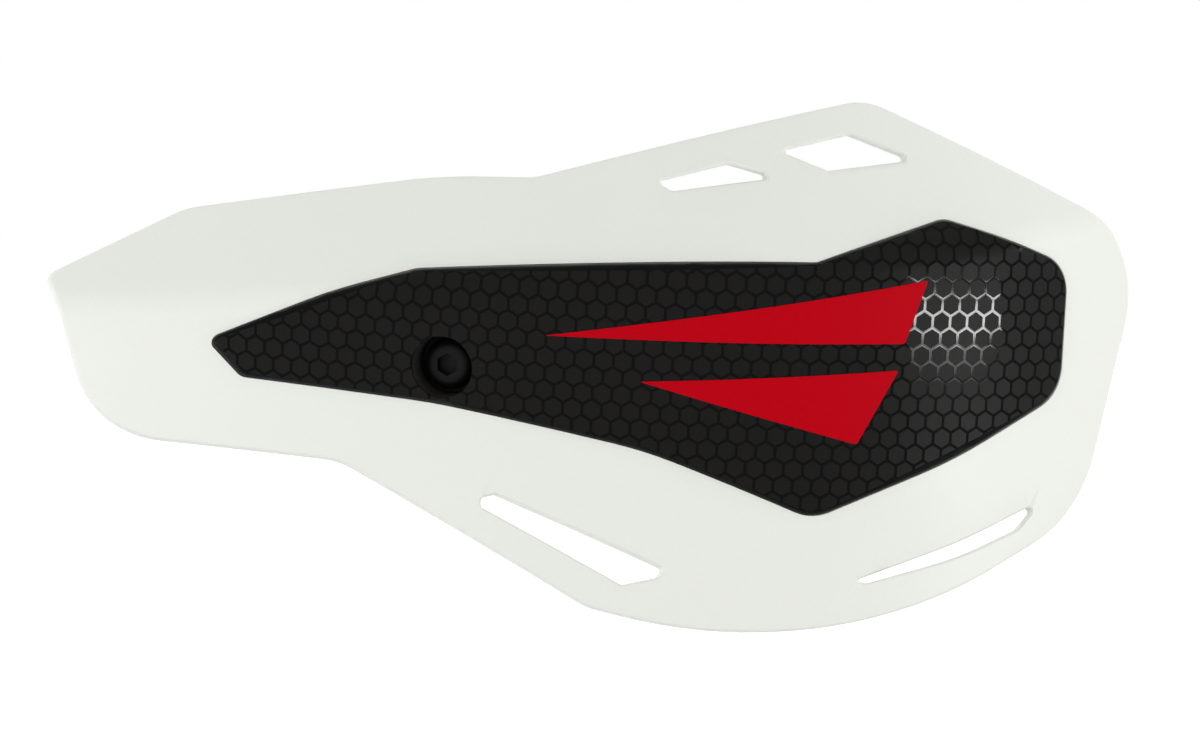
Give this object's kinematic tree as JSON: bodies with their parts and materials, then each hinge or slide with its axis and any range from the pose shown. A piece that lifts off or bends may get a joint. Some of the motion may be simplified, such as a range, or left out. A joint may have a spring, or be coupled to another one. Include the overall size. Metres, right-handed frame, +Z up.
{
  "type": "motorcycle hand guard",
  "caption": "Open hand guard for a motorcycle handlebar: a creased, vented white plastic shield with a black honeycomb centre panel, held by a screw through a cup.",
  "frame": {"origin": "middle of the rear face of the screw boss, on the fixing screw's axis", "axes": "+X outwards along the handlebar, +Y rearwards along the fixing screw, +Z up; the guard faces -Y"},
  "size_m": [0.2146, 0.0743, 0.1049],
  "materials": {
    "white_shell": "satin moulded polypropylene",
    "black_panel": "gloss rim and ridges, matte cells",
    "black_washer": "black zinc",
    "black_screw": "black oxide"
  },
  "bodies": {
    "root": {"guard_shell": "white_shell", "centre_panel": "black_panel", "screw_washer": "black_washer", "fixing_screw": "black_screw"}
  },
  "joints": []
}
